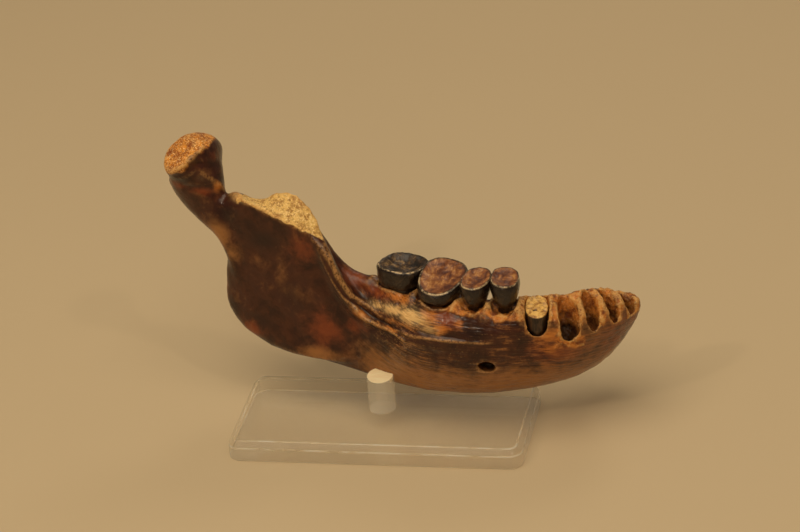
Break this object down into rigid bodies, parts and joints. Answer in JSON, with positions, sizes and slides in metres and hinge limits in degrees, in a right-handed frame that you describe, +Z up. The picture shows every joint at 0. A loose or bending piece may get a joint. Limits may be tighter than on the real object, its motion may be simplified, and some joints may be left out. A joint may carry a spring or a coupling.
{
  "type": "fossil human jawbone on a display stand",
  "caption": "Right half of a fossil human lower jaw with worn cheek teeth, empty front sockets and a broken coronoid process, held by a short rod on a clear acrylic plate.",
  "frame": {"origin": "middle of the underside of the stand's plate", "axes": "+X along the stand's length, towards the front teeth; +Y towards the back of the stand; +Z up"},
  "size_m": [0.1168, 0.0499, 0.0672],
  "materials": {
    "bone": "varnished brown fossil bone",
    "tooth": "worn, nearly black, satin",
    "root": "broken, yellow-brown",
    "acrylic": "clear, polished acrylic"
  },
  "bodies": {
    "root": {"jawbone": "bone", "canine_root": "root", "second_molar": "tooth", "first_molar": "tooth", "second_premolar": "tooth", "first_premolar": "tooth", "stand_base": "acrylic", "stand_rod": "acrylic"}
  },
  "joints": []
}
